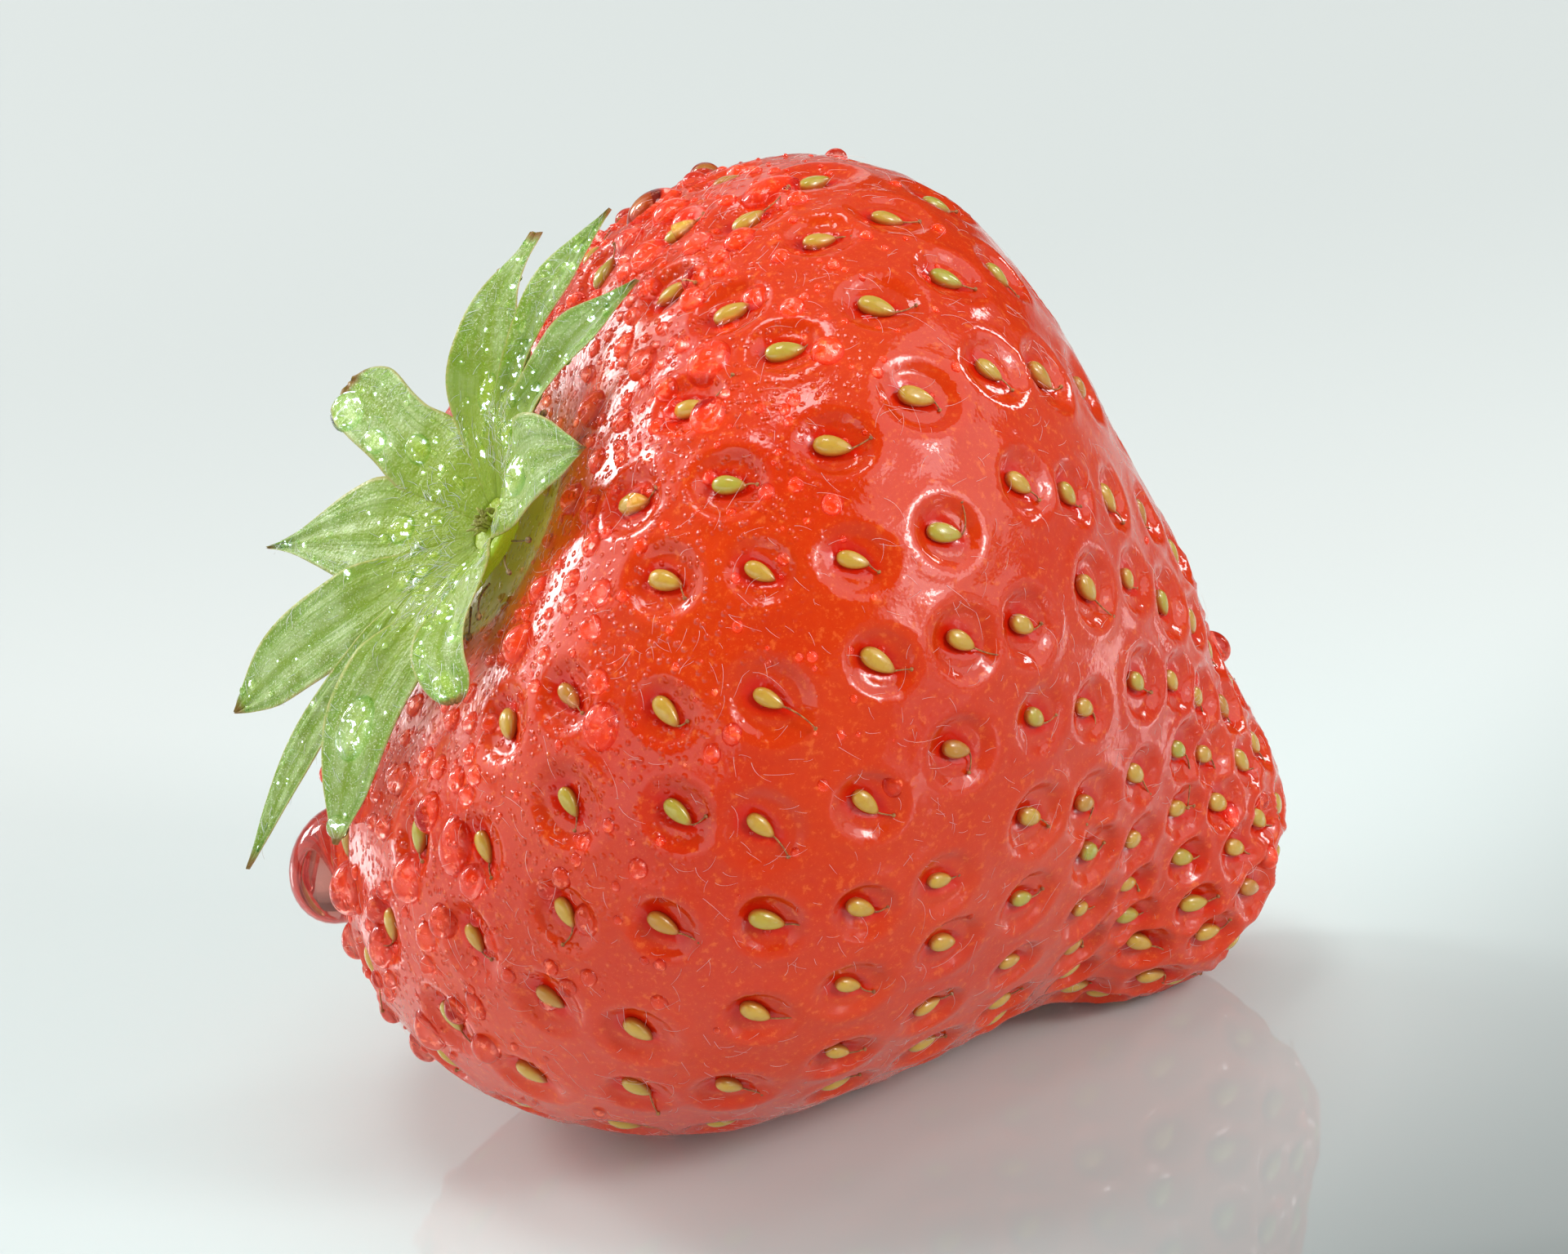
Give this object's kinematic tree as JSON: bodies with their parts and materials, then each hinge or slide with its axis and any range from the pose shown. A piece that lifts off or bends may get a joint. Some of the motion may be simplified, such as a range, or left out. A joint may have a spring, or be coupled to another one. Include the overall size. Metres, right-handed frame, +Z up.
{
  "type": "strawberry",
  "caption": "Ripe strawberry lying on its flank, with pitted red flesh, seed-like achenes and a spreading green calyx without its stalk.",
  "frame": {"origin": "on the ground, under the middle of the bounding box of the fruit as it lies", "axes": "+Z up; +X along the longest side of the lying fruit, towards its tip; the side shown in front faces -Y"},
  "size_m": [0.0388, 0.0348, 0.0342],
  "materials": {
    "flesh": "moist waxy fruit skin, glossy, light scattering under the surface",
    "calyx_cup": "fresh yellow-green plant tissue, satin",
    "stem_scar": "dried brown plant tissue, matte",
    "calyx_leaf": "pale green leaf with a fine bloom, satin",
    "achene": "golden hard seed coat, satin gloss"
  },
  "bodies": {
    "root": {"receptacle": "flesh", "calyx_cup": "calyx_cup", "stem_scar": "stem_scar", "sepal_1": "calyx_leaf", "sepal_2": "calyx_leaf", "sepal_3": "calyx_leaf", "sepal_4": "calyx_leaf", "sepal_5": "calyx_leaf", "bractlet_1": "calyx_leaf", "bractlet_2": "calyx_leaf", "bractlet_3": "calyx_leaf", "bractlet_4": "calyx_leaf", "bractlet_5": "calyx_leaf", "achene_01": "achene", "achene_02": "achene", "achene_03": "achene", "achene_04": "achene", "achene_05": "achene", "achene_06": "achene", "achene_07": "achene", "achene_08": "achene", "achene_09": "achene", "achene_10": "achene", "achene_11": "achene", "achene_12": "achene", "achene_13": "achene", "achene_14": "achene", "achene_15": "achene", "achene_16": "achene", "achene_17": "achene", "achene_18": "achene", "achene_19": "achene", "achene_20": "achene", "achene_21": "achene", "achene_22": "achene", "achene_23": "achene", "achene_24": "achene", "achene_25": "achene", "achene_26": "achene", "achene_27": "achene", "achene_28": "achene", "achene_29": "achene", "achene_30": "achene", "achene_31": "achene", "achene_32": "achene", "achene_33": "achene", "achene_34": "achene", "achene_35": "achene", "achene_36": "achene", "achene_37": "achene", "achene_38": "achene", "achene_39": "achene", "achene_40": "achene", "achene_41": "achene", "achene_42": "achene", "achene_43": "achene"}
  },
  "joints": []
}
